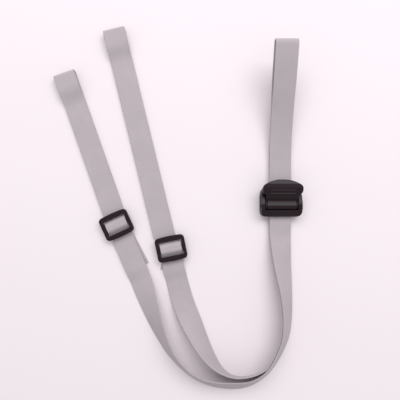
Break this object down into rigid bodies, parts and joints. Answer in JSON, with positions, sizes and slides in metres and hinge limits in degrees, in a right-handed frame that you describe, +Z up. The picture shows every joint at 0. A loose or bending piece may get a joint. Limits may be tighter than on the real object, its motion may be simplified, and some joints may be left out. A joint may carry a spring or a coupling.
{
  "type": "adjustable webbing carrying strap",
  "caption": "Doubled flat webbing strap: a cam-lever buckle cinches the folded end into a loop, and each leg beyond it ends in a loop set by a tri-glide slider.",
  "frame": {"origin": "middle of the footprint, on the surface that the strap lies on", "axes": "+Z up from that surface, +Y along the folded end from the buckle towards the tip of its loop, +X to the right seen from above"},
  "size_m": [0.2292, 0.339, 0.0332],
  "materials": {
    "webbing": "light grey flat-woven nylon webbing, fine cross ribs, soft sheen",
    "plastic": "black injection-moulded acetal, fine satin grain"
  },
  "bodies": {
    "webbing": {"outer_limb": "webbing", "outer_bend": "webbing", "left_leg_run": "webbing", "inner_limb": "webbing", "inner_bend": "webbing", "right_leg_run": "webbing", "main_loop_upper_layer": "webbing", "main_loop_lower_layer": "webbing", "main_loop_fold": "webbing", "left_loop_upper_layer": "webbing", "left_loop_lower_layer": "webbing", "left_loop_fold": "webbing", "left_leg_tail": "webbing", "right_loop_upper_layer": "webbing", "right_loop_lower_layer": "webbing", "right_loop_fold": "webbing", "right_leg_tail": "webbing"},
    "buckle": {"buckle_body": "plastic"},
    "lever": {"cam_lever": "plastic"},
    "left_slider": {"left_slider": "plastic"},
    "right_slider": {"right_slider": "plastic"}
  },
  "joints": [
    {"name": "buckle_slide", "type": "slide", "parent": "webbing", "child": "buckle", "axis": [0, 1, 0], "range_m": [-0.012, 0.06], "deforming": ["main_loop_upper_layer", "main_loop_lower_layer", "outer_limb", "inner_limb"]},
    {"name": "cam_lever_hinge", "type": "hinge", "parent": "buckle", "child": "lever", "pos_m": [0.0959, 0.00229, 0.0086], "axis": [1, 0, 0], "range_deg": [0, 100]},
    {"name": "left_slider_slide", "type": "slide", "parent": "webbing", "child": "left_slider", "axis": [-0.3322, 0.9432, 0], "range_m": [-0.008, 0.088], "deforming": ["left_loop_upper_layer", "left_loop_lower_layer", "left_leg_run", "left_leg_tail"]},
    {"name": "right_slider_slide", "type": "slide", "parent": "webbing", "child": "right_slider", "axis": [-0.2368, 0.9715, 0], "range_m": [-0.008, 0.13], "deforming": ["right_loop_upper_layer", "right_loop_lower_layer", "right_leg_run", "right_leg_tail"]}
  ]
}
